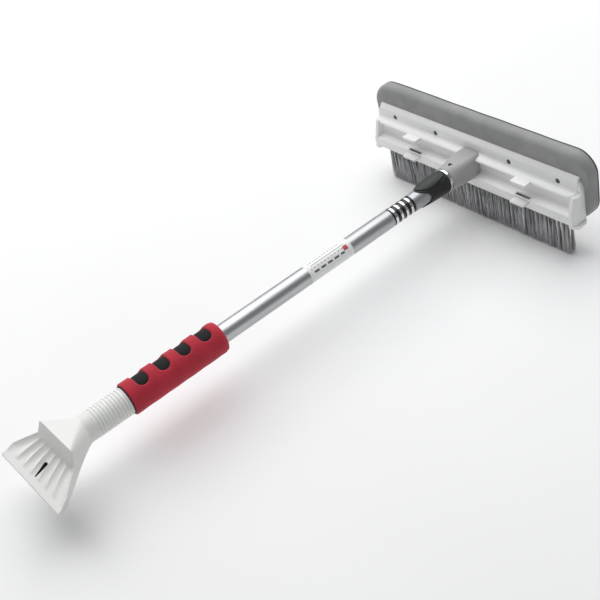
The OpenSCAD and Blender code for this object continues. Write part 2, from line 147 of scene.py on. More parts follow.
class Paint:
    """A node material with helpers for object-space patterns."""

    def __init__(self, name):
        self.mat = bpy.data.materials.new(name)
        self.mat.use_nodes = True
        self.tree = self.mat.node_tree
        self.shader = self.tree.nodes["Principled BSDF"]
        self.coord = self.tree.nodes.new("ShaderNodeTexCoord").outputs["Object"]

    @classmethod
    def adopt(cls, mat):
        """Takes up a finished material again, to add to it."""
        p = cls.__new__(cls)
        p.mat = mat
        p.tree = mat.node_tree
        p.shader = p.tree.nodes["Principled BSDF"]
        p.coord = p.tree.nodes["Texture Coordinate"].outputs["Object"]
        return p

    def set(self, **values):
        for key, value in values.items():
            self.shader.inputs[key.replace("_", " ")].default_value = value
        return self

    def link(self, a, b):
        self.tree.links.new(a, b)

    def node(self, kind, **values):
        node = self.tree.nodes.new(kind)
        for key, value in values.items():
            setattr(node, key, value)
        return node

    def math(self, operation, a, b=0.0, c=0.0):
        node = self.node("ShaderNodeMath", operation=operation)
        for socket, value in zip(node.inputs, (a, b, c)):
            if isinstance(value, (int, float)):
                socket.default_value = value
            else:
                self.link(value, socket)
        return node.outputs[0]

    def stretched(self, stretch):
        mapping = self.node("ShaderNodeMapping")
        mapping.inputs["Scale"].default_value = stretch
        self.link(self.coord, mapping.inputs["Vector"])
        return mapping.outputs[0]

    def noise(self, scale, detail=3.0, stretch=(1, 1, 1), roughness=0.55):
        node = self.node("ShaderNodeTexNoise")
        node.inputs["Scale"].default_value = scale
        node.inputs["Detail"].default_value = detail
        node.inputs["Roughness"].default_value = roughness
        self.link(self.stretched(stretch), node.inputs["Vector"])
        return node.outputs["Fac"]

    def cells(self, scale, feature="F1", stretch=(1, 1, 1)):
        node = self.node("ShaderNodeTexVoronoi", feature=feature)
        node.inputs["Scale"].default_value = scale
        self.link(self.stretched(stretch), node.inputs["Vector"])
        return node.outputs["Distance"]

    def ramp(self, fac, low, high, start=0.3, end=0.7):
        node = self.node("ShaderNodeValToRGB")
        node.color_ramp.elements[0].position = start
        node.color_ramp.elements[1].position = end
        node.color_ramp.elements[0].color = (*low, 1)
        node.color_ramp.elements[1].color = (*high, 1)
        self.link(fac, node.inputs["Fac"])
        return node.outputs["Color"]

    def spread(self, fac, low, high, start=0.3, end=0.7):
        node = self.node("ShaderNodeMapRange")
        for key, value in (("From Min", start), ("From Max", end), ("To Min", low), ("To Max", high)):
            node.inputs[key].default_value = value
        self.link(fac, node.inputs["Value"])
        return node.outputs["Result"]

    def mix(self, fac, a, b):
        node = self.node("ShaderNodeMix", data_type="RGBA")
        self.link(fac, node.inputs[0])
        for socket, value in ((node.inputs[6], a), (node.inputs[7], b)):
            if isinstance(value, tuple):
                socket.default_value = (*value, 1)
            else:
                self.link(value, socket)
        return node.outputs[2]

    def colour(self, source):
        self.link(source, self.shader.inputs["Base Color"])
        return self

    def rough(self, source):
        self.link(source, self.shader.inputs["Roughness"])
        return self

    def bump(self, height, distance, strength=1.0):
        """Adds a bump over any that is there already; distance is in metres."""
        node = self.node("ShaderNodeBump")
        node.inputs["Strength"].default_value = strength
        node.inputs["Distance"].default_value = distance
        self.link(height, node.inputs["Height"])
        normal = self.shader.inputs["Normal"]
        if normal.is_linked:
            self.link(normal.links[0].from_socket, node.inputs["Normal"])
        self.link(node.outputs["Normal"], normal)
        return self


def shade(colour, factor):
    """The colour made lighter or darker."""
    return tuple(min(1.0, c * factor) for c in colour)


def plain_floor():
    p = Paint("floor_white")
    p.colour(p.ramp(p.noise(2.0), (0.90, 0.90, 0.90), (0.94, 0.94, 0.94)))
    return p.set(Roughness=0.8).mat


def moulded(name, colour, roughness=0.38, grain=1600, depth=0.00002):
    """Satin moulded plastic: fine grain, soft flow marks and a trace of scuffing."""
    p = Paint(name)
    flow = p.noise(28, 4, (1, 0.35, 1))
    scuffs = p.noise(420, 6, (0.25, 1, 1), 0.7)
    p.colour(p.mix(p.spread(scuffs, 0, 0.35, 0.62, 0.78),
                   p.ramp(flow, shade(colour, 0.955), shade(colour, 1.02)), shade(colour, 0.86)))
    p.rough(p.spread(scuffs, roughness, roughness + 0.16))
    p.bump(p.noise(grain, 2), depth, 0.6)
    p.bump(flow, depth * 6, 0.25)
    return p.mat


def foam(name, colour, pore_shade, pore_size, depth, sheen=0.15):
    """Closed-cell foam: small round pores painted darker as shade in them, mottled colour and a dry
    sheen.
    """
    p = Paint(name)
    cells = p.cells(1 / pore_size)
    fine = p.noise(2.4 / pore_size, 3)
    patches = p.noise(60, 4)
    body = p.ramp(patches, shade(colour, 0.88), shade(colour, 1.1))
    # painted shade: each pore, bumped in below, is coloured darker as the shade inside it
    p.colour(p.mix(p.spread(cells, 0.75, 0.0, 0.05, 0.32), body, pore_shade))
    p.rough(p.spread(fine, 0.78, 0.95))
    p.bump(cells, depth, 0.7)
    p.bump(fine, depth * 0.5, 0.6)
    p.set(Sheen_Weight=sheen, Sheen_Roughness=0.6, Specular_IOR_Level=0.3)
    return p.mat


def pad_foam():
    """Grey foam with pores painted darker as shade in them; near-black over its last 2.4 mm toward +X."""
    p = Paint("pad_foam")
    split = p.node("ShaderNodeSeparateXYZ")
    p.link(p.coord, split.inputs[0])
    cells = p.cells(1250)
    fine = p.noise(2600, 3)
    body = p.ramp(p.noise(45, 4), (0.29, 0.295, 0.29), (0.36, 0.365, 0.355))
    # painted shade: the pores, bumped in below, are coloured darker as the shade inside them
    pore_shaded_body = p.mix(p.spread(cells, 0.6, 0.0, 0.05, 0.32), body, (0.20, 0.205, 0.205))
    # near-black over the last 2.4 mm toward +X, fading in over the 0.6 mm before
    skin = p.spread(split.outputs["X"], 0.0, 1.0, pad_high.x - 3.0 * MM, pad_high.x - 2.4 * MM)
    front = p.ramp(p.cells(900), (0.022, 0.022, 0.024), (0.065, 0.065, 0.068), 0.1, 0.45)
    p.colour(p.mix(skin, pore_shaded_body, front))
    p.rough(p.spread(fine, 0.78, 0.95))
    p.bump(cells, 0.00010, 0.7)
    p.bump(fine, 0.00005, 0.6)
    p.set(Sheen_Weight=0.12, Sheen_Roughness=0.6, Specular_IOR_Level=0.3)
    return p.mat


def scraper_plastic():
    """White moulded plastic, with painted shade: near-black on the walls of the drop slot, where they
    turn down into the dark.
    """
    mat = moulded("scraper_plastic", (0.86, 0.865, 0.835))
    p = Paint.adopt(mat)
    split = p.node("ShaderNodeSeparateXYZ")
    p.link(p.coord, split.inputs[0])
    x, y = split.outputs["X"], split.outputs["Y"]
    wide, tip = SLOT_WIDE[0] * MM, SLOT_TIP[0] * MM
    along = p.spread(x, 0.0, 1.0, tip, wide)
    radius = p.math("MULTIPLY_ADD", along, (SLOT_WIDE[1] - SLOT_TIP[1]) * MM, SLOT_TIP[1] * MM)
    nearest = p.math("MULTIPLY_ADD", along, wide - tip, tip)
    away = p.math("SUBTRACT", x, nearest)
    reach = p.math("SQRT", p.math("ADD", p.math("MULTIPLY", away, away), p.math("MULTIPLY", y, y)))
    outside = p.math("SUBTRACT", reach, radius)
    base = p.shader.inputs["Base Color"].links[0].from_socket
    # painted shade: near-black within 0.05 mm of the drop slot's outline, fading to the plastic's colour
    # by 0.35 mm
    p.colour(p.mix(p.spread(outside, 1.0, 0.0, 0.05 * MM, 0.35 * MM), base, (0.03, 0.03, 0.03)))
    return mat


def tube_metal():
    """Satin anodised aluminium with fine lengthwise draw lines."""
    p = Paint("tube_metal")
    draw = p.noise(900, 3, (0.02, 1, 1), 0.7)
    cloud = p.noise(18, 3)
    p.colour(p.mix(p.spread(draw, 0, 0.5), p.ramp(cloud, (0.52, 0.53, 0.54), (0.58, 0.59, 0.60)),
                   (0.43, 0.44, 0.45)))
    p.rough(p.spread(draw, 0.36, 0.5))
    p.bump(draw, 0.00001, 0.5)
    return p.set(Metallic=1.0).mat


def plated(name, colour, roughness, scratch=0.5):
    """Bright plating or paint over metal, with hairline scratches."""
    p = Paint(name)
    hairs = p.noise(1500, 4, (1, 0.1, 1), 0.7)
    p.colour(p.ramp(hairs, shade(colour, 0.9), colour))
    p.rough(p.spread(hairs, roughness, roughness + 0.12))
    p.bump(hairs, 0.000006, scratch)
    return p.set(Metallic=1.0).mat


def silver_paint():
    """Metallic paint: flakes that vary in brightness under a clear coat."""
    p = Paint("neck_silver")
    flakes = p.cells(2600)
    cloud = p.noise(70, 3)
    base = p.ramp(cloud, (0.42, 0.43, 0.44), (0.52, 0.53, 0.55))
    p.colour(p.mix(p.spread(flakes, 0.0, 0.4, 0.1, 0.5), base, (0.36, 0.37, 0.39)))
    p.rough(p.spread(flakes, 0.28, 0.42, 0.0, 0.6))
    p.bump(flakes, 0.000012, 0.4)
    return p.set(Metallic=0.75, Coat_Weight=0.25, Coat_Roughness=0.12).mat


def soft_rubber(name, colour):
    """Overmoulded rubber: matt, finely textured, slightly polished where hands rub it."""
    p = Paint(name)
    leather = p.cells(1100)
    rub = p.noise(90, 4)
    p.colour(p.ramp(rub, shade(colour, 0.7), shade(colour, 1.6)))
    p.rough(p.spread(rub, 0.42, 0.62))
    p.bump(leather, 0.00003, 0.5)
    return p.mat


def bristle_filament():
    """Dark filaments: each strand a slightly different grey, and some tufts paler."""
    p = Paint("bristle")
    strands = p.noise(900, 2, (1, 1, 0.02), 0.6)
    tufts = p.noise(170, 2, (1, 1, 0.05))
    dark = p.ramp(strands, (0.09, 0.09, 0.095), (0.90, 0.90, 0.91), 0.36, 0.54)
    p.colour(p.mix(p.spread(tufts, 0, 0.45, 0.45, 0.6), dark, (0.74, 0.74, 0.75)))
    p.rough(p.spread(strands, 0.35, 0.6))
    p.bump(strands, 0.00003, 0.4)
    return p.set(Specular_IOR_Level=0.4).mat


def label_film():
    """A white sleeve with plain marks: rows of dashes, a thin line and a small red patch."""
    p = Paint("label_film")
    split = p.node("ShaderNodeSeparateXYZ")
    p.link(p.coord, split.inputs[0])
    along = split.outputs["X"]
    angle = p.math("ARCTAN2", p.math("MULTIPLY", split.outputs["Y"], -1),
                   p.math("SUBTRACT", split.outputs["Z"], AXIS_Z))

    def band(value, centre, half):
        return p.math("COMPARE", value, centre, half)

    middle = (label_low.x + label_high.x) / 2

    def dashes(place, half, pitch, gap):
        """A row of dashes at one angle; gap sets how much of each pitch (in mm) is left blank."""
        wave = p.math("SINE", p.math("MULTIPLY", along, TAU / (pitch * MM)))
        row = p.math("MULTIPLY", p.math("GREATER_THAN", wave, gap), band(angle, place, half))
        return p.math("MULTIPLY", row, band(along, middle - 3 * MM, 20 * MM))

    marks = p.math("MULTIPLY", band(angle, 0.28, 0.03), band(along, middle, 21 * MM))
    for row in ((1.05, 0.10, 8.4, -0.55), (-0.12, 0.045, 3.1, -0.2), (0.62, 0.035, 4.3, 0.1)):
        marks = p.math("MAXIMUM", marks, dashes(*row))
    red_patch = p.math("MULTIPLY", band(angle, 0.72, 0.26), band(along, label_high.x - 7 * MM, 2.6 * MM))
    paper = p.ramp(p.noise(300), (0.92, 0.92, 0.91), (0.96, 0.96, 0.95))
    p.colour(p.mix(red_patch, p.mix(marks, paper, (0.10, 0.10, 0.11)), (0.55, 0.10, 0.11)))
    p.rough(p.spread(p.noise(700), 0.25, 0.4))
    p.bump(p.noise(1200), 0.000008, 0.4)
    return p.mat


def make_materials():
    """One material for each slot of the record, and one more for the scraper."""
    return {
        "white_plastic": moulded("white_plastic", (0.95, 0.95, 0.94)),
        "scraper_plastic": scraper_plastic(),
        "block_plastic": moulded("block_plastic", (0.84, 0.84, 0.83), 0.42),
        "grey_plastic": moulded("grey_plastic", (0.42, 0.42, 0.41), 0.40),
        "carrier_plastic": moulded("carrier_plastic", (0.10, 0.10, 0.105), 0.5),
        "tube_metal": tube_metal(),
        "label_film": label_film(),
        # each foam's second colour is the painted shade in its pores
        "grip_foam_red": foam("grip_foam_red", (0.50, 0.022, 0.044), (0.33, 0.013, 0.026),
                              0.0009, 0.00010),
        "grip_foam_black": foam("grip_foam_black", (0.013, 0.014, 0.015), (0.006, 0.006, 0.006),
                                0.0008, 0.00012, 0.05),
        "pad_foam": pad_foam(),
        "ferrule_black": moulded("ferrule_black", (0.012, 0.012, 0.013), 0.16),
        "ring_chrome": plated("ring_chrome", (0.86, 0.86, 0.87), 0.06),
        "steel": plated("steel", (0.52, 0.52, 0.53), 0.28),
        "spring_steel": plated("spring_steel", (0.42, 0.42, 0.43), 0.3),
        "screw_black": plated("screw_black", (0.16, 0.16, 0.165), 0.4),
        "neck_silver": silver_paint(),
        "neck_rubber": soft_rubber("neck_rubber", (0.012, 0.012, 0.013)),
        "latch_plastic": soft_rubber("latch_plastic", (0.018, 0.022, 0.020)),
        "bristle": bristle_filament(),
    }


# ---------- mesh helpers ----------

def clamp(t):
    return min(max(t, 0.0), 1.0)


def ease(t):
    """Smooth step from 0 to 1."""
    t = clamp(t)
    return t * t * (3 - 2 * t)


def to_object(name, bm, slot, body, replaces=(), smooth_deg=35):
    """Turns a bmesh into a finished piece on its body, with its slot's material."""
    bmesh.ops.recalc_face_normals(bm, faces=bm.faces)
    mesh = bpy.data.meshes.new(name)
    bm.to_mesh(mesh)
    bm.free()
    mesh.materials.append(MATERIALS[slot])
    obj = bpy.data.objects.new(name, mesh)
    bpy.context.scene.collection.objects.link(obj)
    mesh.shade_smooth()
    if smooth_deg:
        mesh.set_sharp_from_angle(angle=math.radians(smooth_deg))
    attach(obj, body)
    if replaces:
        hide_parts(*replaces)
    return obj


def rounded_profile(points, radius=0.0004, steps=3):
    """A closed profile with each corner rounded by a short arc."""
    out = []
    count = len(points)
    for i, p in enumerate(points):
        before = Vector(points[i - 1]) - Vector(p)
        after = Vector(points[(i + 1) % count]) - Vector(p)
        reach = min(radius, before.length * 0.45, after.length * 0.45)
        a = Vector(p) + before.normalized() * reach
        b = Vector(p) + after.normalized() * reach
        for k in range(steps + 1):
            t = k / steps
            out.append((1 - t) ** 2 * a + 2 * t * (1 - t) * Vector(p) + t ** 2 * b)
    return out


def lathe(name, profile, slot, body, replaces=(), segments=96, radius=0.0003):
    """A solid of revolution about the handle's axis; profile holds (x, r) corners of a closed outline."""
    outline = rounded_profile(profile, radius)
    bm = bmesh.new()
    rings = []
    for k in range(segments):
        turn = TAU * k / segments
        rings.append([bm.verts.new((p.x, p.y * math.sin(turn), AXIS_Z + p.y * math.cos(turn)))
                      for p in outline])
    for k in range(segments):
        here, there = rings[k], rings[(k + 1) % segments]
        for i in range(len(outline)):
            j = (i + 1) % len(outline)
            bm.faces.new((here[i], here[j], there[j], there[i]))
    return to_object(name, bm, slot, body, replaces)


def shell_mesh(x0, x1, outer, inner, depth_in, reach, step, edge):
    """A closed shell wrapped round the handle's axis.

    outer and inner give a radius at (angle, x). depth_in gives how far a point at (arc, x) lies inside
    the shell's outline, with arc measured at radius reach; points outside it are left out, so the shell
    has real openings. edge is the radius that rounds every rim of the outer skin.
    """
    across = max(24, round(TAU * reach / step))
    along = max(4, round((x1 - x0) / step))
    h = (x1 - x0) / along
    arc_step = TAU * reach / across

    def depth(arc, x):
        return min(depth_in(arc, x), x - x0, x1 - x)

    bm = bmesh.new()
    grid = {}
    for i in range(across):
        for j in range(along + 1):
            arc = (i - across // 2) * arc_step
            x = x0 + j * h
            d = depth_in(arc, x)
            if d < 0.55 * step and d > -0.55 * step:
                g = 1e-5
                ga = (depth_in(arc + g, x) - depth_in(arc - g, x)) / (2 * g)
                gx = (depth_in(arc, x + g) - depth_in(arc, x - g)) / (2 * g)
                size = max(ga * ga + gx * gx, 1e-6)
                arc -= d * ga / size
                x = min(max(x - d * gx / size, x0), x1)
                d = 0.0
            if d < 0:
                continue
            turn = arc / reach
            rim = min(max(depth(arc, x), 0.0), edge)
            drop = edge - math.sqrt(max(edge ** 2 - (edge - rim) ** 2, 0.0))
            pair = []
            for r in (outer(turn, x) - drop, inner(turn, x)):
                pair.append(bm.verts.new((x, -r * math.sin(turn), AXIS_Z + r * math.cos(turn))))
            grid[i, j] = pair
    edges = {}
    for i in range(across):
        for j in range(along):
            corners = [(i, j), ((i + 1) % across, j), ((i + 1) % across, j + 1), (i, j + 1)]
            there = [c for c in corners if c in grid]
            if len(there) < 3:
                continue
            bm.faces.new([grid[c][0] for c in there])
            bm.faces.new([grid[c][1] for c in reversed(there)])
            for a, b in zip(there, there[1:] + there[:1]):
                key = tuple(sorted((a, b)))
                edges[key] = None if key in edges else (a, b)
    for pair in edges.values():
        if pair:
            a, b = pair
            bm.faces.new((grid[b][0], grid[a][0], grid[a][1], grid[b][1]))
    bmesh.ops.delete(bm, geom=[v for v in bm.verts if not v.link_faces], context="VERTS")
    return bm


def bevelled(node, slot, body, width):
    """A copy of a CAD node with every sharp edge rounded over."""
    bm = bmesh.new()
    bm.from_mesh(frame["nodes"][node].data)
    bmesh.ops.remove_doubles(bm, verts=bm.verts, dist=2e-6)
    bmesh.ops.dissolve_limit(bm, angle_limit=math.radians(0.6), verts=bm.verts, edges=bm.edges)
    bend = math.radians(28)
    sharp = [e for e in bm.edges if len(e.link_faces) == 2 and e.calc_face_angle(0) > bend]
    bmesh.ops.bevel(bm, geom=sharp, offset=width, segments=2, profile=0.5, affect="EDGES",
                    clamp_overlap=True, loop_slide=True)
    return to_object(node + "_skin", bm, slot, body, (node,), 30)


def apply_modifiers(obj):
    """Bakes the object's modifiers into its mesh."""
    graph = bpy.context.evaluated_depsgraph_get()
    mesh = bpy.data.meshes.new_from_object(obj.evaluated_get(graph))
    obj.modifiers.clear()
    obj.data = mesh


MATERIALS = make_materials()
add_camera()
add_stage()

# ---------- every CAD node gets its slot's material ----------

for entry in frame["record"]["subparts"]:
    data = frame["nodes"][entry["node"]].data
    data.materials.clear()
    data.materials.append(MATERIALS[entry["material_slot"]])


# ---------- handle ----------

def make_tube():
    """The aluminium tube and the thin sleeve round its middle."""
    wall = 1.0 * MM
    film = 0.14 * MM
    lathe("tube_skin", [(tube_low.x, TUBE_R), (tube_high.x, TUBE_R), (tube_high.x, TUBE_R - wall),
                        (tube_low.x, TUBE_R - wall)], "tube_metal", "handle", ("handle_tube",))
    lathe("label_skin", [(label_low.x, TUBE_R + film), (label_high.x, TUBE_R + film),
                         (label_high.x, TUBE_R), (label_low.x, TUBE_R)], "label_film", "handle",
          ("tube_label",), radius=0.04 * MM)


def turned_ring(name, node, foot, edge, shoulder):
    """A bright ring with chamfered shoulders; foot and edge are depths below its crown."""
    low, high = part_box(node)
    crown = (high.y - low.y) / 2
    lathe(name, [(low.x, crown - foot), (low.x, crown - edge), (low.x + shoulder, crown),
                 (high.x - shoulder, crown), (high.x, crown - edge), (high.x, crown - foot)],
          "ring_chrome", "handle", (node,))


def make_ferrule():
    """Smooth turned versions of the black collar, its four chrome rings and the neck's trim ring."""
    collar_r = TUBE_R - 0.4 * MM
    bore_r = 7 * MM
    lathe("ferrule_skin", [(tube_high.x, collar_r), (collar_end, collar_r), (collar_end, bore_r),
                           (tube_high.x, bore_r)], "ferrule_black", "handle", ("ferrule_collar",))
    for i in range(1, 5):
        turned_ring(f"chrome_ring_{i}", f"ferrule_ring_{i}", 0.7 * MM, 0.25 * MM, 0.5 * MM)
    turned_ring("trim_ring_skin", "neck_trim_ring", 1.2 * MM, 0.3 * MM, 0.4 * MM)


def window_depth(arc, x):
    """How far a point of the red foam lies outside the nearest finger window."""
    nearest = 1.0
    for i in range(WINDOW_COUNT):
        middle = GRIP_X + WINDOW_FIRST + WINDOW_PITCH * i
        across = max(abs(arc + WINDOW_TURN) - WINDOW_STRAIGHT, 0.0)
        nearest = min(nearest, math.hypot(across, x - middle) - WINDOW_R)
    return nearest


def make_grip():
    """Red foam with finger windows over a black foam sleeve that shows in them; at the lower end it
    swells into a dark lip, partly standing in for a shadow gap.
    """
    lip = 0.85 * MM
    lip_drop = 0.9 * MM
    shoulder = 4.5 * MM
    shoulder_drop = 0.9 * MM
    swell_height = 0.10 * MM
    skin_gap = 0.12 * MM

    def red_outer(turn, x):
        swell = swell_height * math.sin(x * 310 + 2 * math.sin(turn * 2))
        near_end = max(shoulder - (grip_high.x - x), 0.0)
        drop = shoulder - math.sqrt(shoulder ** 2 - near_end ** 2)
        return GRIP_R - skin_gap + swell - min(drop, shoulder_drop)

    bm = shell_mesh(grip_low.x + 0.9 * MM, grip_high.x, red_outer, lambda turn, x: CORE_R + 0.02 * MM,
                    window_depth, GRIP_R, 0.8 * MM, 1.1 * MM)
    red = to_object("grip_red_foam", bm, "grip_foam_red", "handle", ("grip_outer",), 50)

    def black_outer(turn, x):
        # the dark lip: real black foam, swollen out at the lower end to stand in for the shadow gap at
        # the red foam's rim
        if x < grip_low.x + lip:
            return GRIP_R - lip_drop
        bulge = max(0.0, min(1.0, -window_depth(turn * GRIP_R, x) / (3 * MM)))
        return CORE_R + 0.5 * MM * bulge

    bm = shell_mesh(core_low.x, core_high.x, black_outer, lambda turn, x: TUBE_R,
                    lambda arc, x: 1.0, CORE_R, 1.2 * MM, 0.8 * MM)
    black = to_object("grip_black_foam", bm, "grip_foam_black", "handle", ("grip_inner",), 50)


# ---------- scraper ----------

def soft_max(a, b, blend=0.8):
    """The larger of two heights, blended where they are close."""
    mix = clamp(0.5 + 0.5 * (a - b) / blend)
    return b + (a - b) * mix + blend * mix * (1 - mix)


def hood_turn(x):
    """How far the hood has gone from the round neck (0) to its flat front edge (1)."""
    return clamp((HOOD_BACK - x) / (HOOD_BACK - HOOD_FRONT))


def scraper_half(x):
    """Half the scraper's width, flaring from the neck to the edge."""
    t = (HOOD_BACK - x) / (HOOD_BACK - EDGE_X)
    flare = 0.92 * (max(t, 0) / 0.8) ** 1.15 if t < 0.8 else 0.92 + 0.4 * (t - 0.8)
    return NECK_R + (BLADE_HALF - NECK_R) * flare


def blade_fall(x):
    """0 at the hood's front edge, 1 at the scraping edge."""
    return (HOOD_FRONT - x) / (HOOD_FRONT - EDGE_X)


def blade_floor(x):
    """Height of the blade between its ribs."""
    return -2 - 12.6 * blade_fall(x)


def rib_pitch(x):
    """Distance between ribs, which fan out toward the edge."""
    if x > HOOD_FRONT:
        return RIB_PITCH_BACK * scraper_half(x) / scraper_half(HOOD_FRONT)
    return RIB_PITCH_BACK + (RIB_PITCH_FRONT - RIB_PITCH_BACK) * blade_fall(x)


def lane_y(q, x):
    """Distance from the middle for lane coordinate q.

    Whole halves up to 2.5 are the six ribs and 3.5 is the side; the last half lane is the side wall.
    """
    half, pitch = scraper_half(x), rib_pitch(x)
    size = abs(q)
    wall = 3.0
    if size <= 2.5:
        y = size * pitch
    elif size <= 3.0:
        y = 2.5 * pitch + (size - 2.5) * 2 * (half - wall - 2.5 * pitch)
    else:
        y = half - wall + (size - 3.0) * 2 * wall
    return math.copysign(y, q)


def scraper_top(q, x):
    """Height of the upper skin at lane coordinate q: hood, or blade with ribs and side walls."""
    half, y = scraper_half(x), abs(lane_y(q, x))
    turn = hood_turn(x)
    corner = 3.2 + 10.4 * (1 - turn)
    over = max(y - (half - corner), 0.0)
    crown = (1 - turn) * NECK_R + turn * HOOD_TOP
    hood = crown - corner + math.sqrt(max(corner ** 2 - over ** 2, 0.0))
    if x >= HOOD_FRONT:
        return hood
    front_fall = 15.7 * (HOOD_FRONT - x) / (HOOD_FRONT - HOOD_FOOT)
    rib_start = HOOD_FOOT + 4
    height = RIB_HEIGHT * (1 - clamp((rib_start - x) / (rib_start - RIB_END)) ** 3.2)
    if abs(q) <= 2.5:
        across = abs(math.sin(math.pi * (abs(q) + 0.5)))
        crest = height
    else:
        last_rib = 2.5 * rib_pitch(x)
        lane = min((y - last_rib) / (half - EDGE_ROUND - last_rib), 1.0)
        across = abs(math.sin(math.pi * lane))
        crest = height * (1 - lane) + (1.0 + 0.75 * height) * lane
    ridge = crest * (1 - math.sqrt(across * across + 0.010) ** 0.55)
    past_round = max(y - (half - EDGE_ROUND), 0.0)
    rounding = EDGE_ROUND - math.sqrt(max(EDGE_ROUND ** 2 - past_round ** 2, 0.0))
    return soft_max(hood - front_fall, blade_floor(x) + max(ridge, -0.2) - rounding)


def scraper_stations():
    """Stations from the neck to the edge: coarse on the hood, fine on its front and on the blade."""
    steps = [HOOD_BACK - i * 1.2 for i in range(20)]
    steps += [HOOD_FRONT - i * 0.4 for i in range(18)]
    while steps[-1] > EDGE_X + 1.0:
        steps.append(steps[-1] - 0.7)
    return steps + [EDGE_X + 0.25, EDGE_X]


def scraper_section(x):
    """Matching rows of outer and inner points across one station."""
    half = scraper_half(x)
    turn = hood_turn(x)
    rim_z = -9.0 - 8.0 * max(blade_fall(x), 0.0)
    lip = 0.25 if x < EDGE_X + 0.1 else 0.0
    rib_lanes = [i / 26 for i in range(-65, 66)]
    side_lanes = [2.5 + i / 24 for i in range(1, 13)] + [3 + i / 32 for i in range(1, 17)]
    outer, inner = [], []
    for q in [-q for q in reversed(side_lanes)] + rib_lanes + side_lanes:
        y, z = lane_y(q, x), scraper_top(q, x)
        outer.append((y, z - lip))
        if x >= HOOD_FRONT:
            under = z
        elif x > HOOD_FOOT:
            under = soft_max(scraper_top(3.0, x) - 6, blade_floor(x))
        else:
            under = blade_floor(x)
        inner.append((y * (1 - SHELL_T / half), max(under - SHELL_T, rim_z)))
    wall_steps = 8
    for sign, end in ((-1, 0), (1, -1)):
        z_out, z_in = outer[end][1], inner[end][1]
        wall_out, wall_in = [], []
        for k in range(1, wall_steps + 1):
            z = z_out + (rim_z - z_out) * k / wall_steps
            low = min(z, 0.0)
            tuck = (1 - turn) * (NECK_R - math.sqrt(max(NECK_R ** 2 - low * low, 0.0)))
            wall_out.append((sign * (half - tuck), z))
            wall_in.append((sign * (half - SHELL_T - tuck), z_in + (rim_z - z_in) * k / wall_steps))
        if sign < 0:
            outer, inner = wall_out[::-1] + outer, wall_in[::-1] + inner
        else:
            outer, inner = outer + wall_out, inner + wall_in
    return outer, inner


def loft(sections):
    """A closed shell from matching outer and inner rows at stations along X."""
    bm = bmesh.new()
    skins = []
    for x, (outer, inner) in sections:
        skins.append([[bm.verts.new((x * MM, y * MM, AXIS_Z + z * MM)) for y, z in row]
                      for row in (outer, inner)])
    count = len(skins[0][0])
    for (a_out, a_in), (b_out, b_in) in zip(skins, skins[1:]):
        for i in range(count - 1):
            bm.faces.new((a_out[i], a_out[i + 1], b_out[i + 1], b_out[i]))
            bm.faces.new((b_in[i], b_in[i + 1], a_in[i + 1], a_in[i]))
        for i in (0, count - 1):
            bm.faces.new((a_out[i], b_out[i], b_in[i], a_in[i]))
    for outer, inner in (skins[0], skins[-1]):
        for i in range(count - 1):
            bm.faces.new((outer[i], inner[i], inner[i + 1], outer[i + 1]))
    return bm


def drop_outline(margin=0.0):
    """The drop slot's outline, wide toward the handle."""
    points = []
    for (x, radius), first, sweep, steps in ((SLOT_WIDE, -100, 200, 16), (SLOT_TIP, 100, 160, 8)):
        for k in range(steps + 1):
            a = math.radians(first + sweep * k / steps)
            points.append((x + (radius + margin) * math.cos(a), (radius + margin) * math.sin(a)))
    return points


def slot_collar():
    """A low wall under the blade around the drop slot; the scraper material paints its inner walls
    near-black as shade.
    """
    bm = bmesh.new()
    rows = []
    for margin, drop in ((0.0, -1.0), (0.0, -7.0), (1.3, -7.0), (1.3, -1.0)):
        rows.append([bm.verts.new((x * MM, y * MM, AXIS_Z + (blade_floor(x) + drop) * MM))
                     for x, y in drop_outline(margin)])
    count = len(rows[0])
    for a, b in zip(rows, rows[1:] + rows[:1]):
        for i in range(count):
            j = (i + 1) % count
            bm.faces.new((a[i], a[j], b[j], b[i]))
    to_object("slot_collar", bm, "scraper_plastic", "handle")


def slot_cutter():
    """A tall drop-shaped prism."""
    bm = bmesh.new()
    rows = [[bm.verts.new((x * MM, y * MM, AXIS_Z + z * MM)) for x, y in drop_outline()]
            for z in (-30, 10)]
    count = len(rows[0])
    for i in range(count):
        j = (i + 1) % count
        bm.faces.new((rows[0][i], rows[0][j], rows[1][j], rows[1][i]))
    bm.faces.new(rows[0])
    bm.faces.new(rows[1])
    bmesh.ops.recalc_face_normals(bm, faces=bm.faces)
    mesh = bpy.data.meshes.new("slot_cutter")
    bm.to_mesh(mesh)
    bm.free()
    obj = bpy.data.objects.new("slot_cutter", mesh)
    bpy.context.scene.collection.objects.link(obj)
    return obj


def make_scraper():
    """Hood and ribbed blade in one shell with its drop slot, and the ringed neck."""
    sections = [(x, scraper_section(x)) for x in scraper_stations()]
    blade = to_object("scraper_blade", loft(sections), "scraper_plastic", "handle",
                      ("scraper_head",), 50)
    cutter = slot_cutter()
    cut = blade.modifiers.new("slot", "BOOLEAN")
    cut.object = cutter
    cut.operation = "DIFFERENCE"
    cut.solver = "EXACT"
    apply_modifiers(blade)
    bpy.data.objects.remove(cutter, do_unlink=True)
    slot_collar()
    ring_pitch, rings = 3.2, 11
    bore_r, groove_r, ring_r = 9.6, 12.7, 13.8
    grip_end = GRIP_X / MM
    profile = [(HOOD_BACK - 0.5, bore_r), (HOOD_BACK - 0.5, 13.4), (grip_end - 37.5, 13.6)]
    for i in range(rings):
        x = grip_end - 37 + i * ring_pitch
        profile += [(x, ring_r), (x + 1.9, ring_r), (x + 2.2, groove_r), (x + 2.9, groove_r)]
    profile += [(grip_end - 1.6, ring_r), (grip_end - 0.1, ring_r), (grip_end - 0.1, bore_r)]
    lathe("scraper_neck", [(x * MM, r * MM) for x, r in profile], "scraper_plastic", "handle",
          radius=0.5 * MM)


make_scraper()
make_tube()
make_ferrule()
make_grip()


# ---------- head ----------

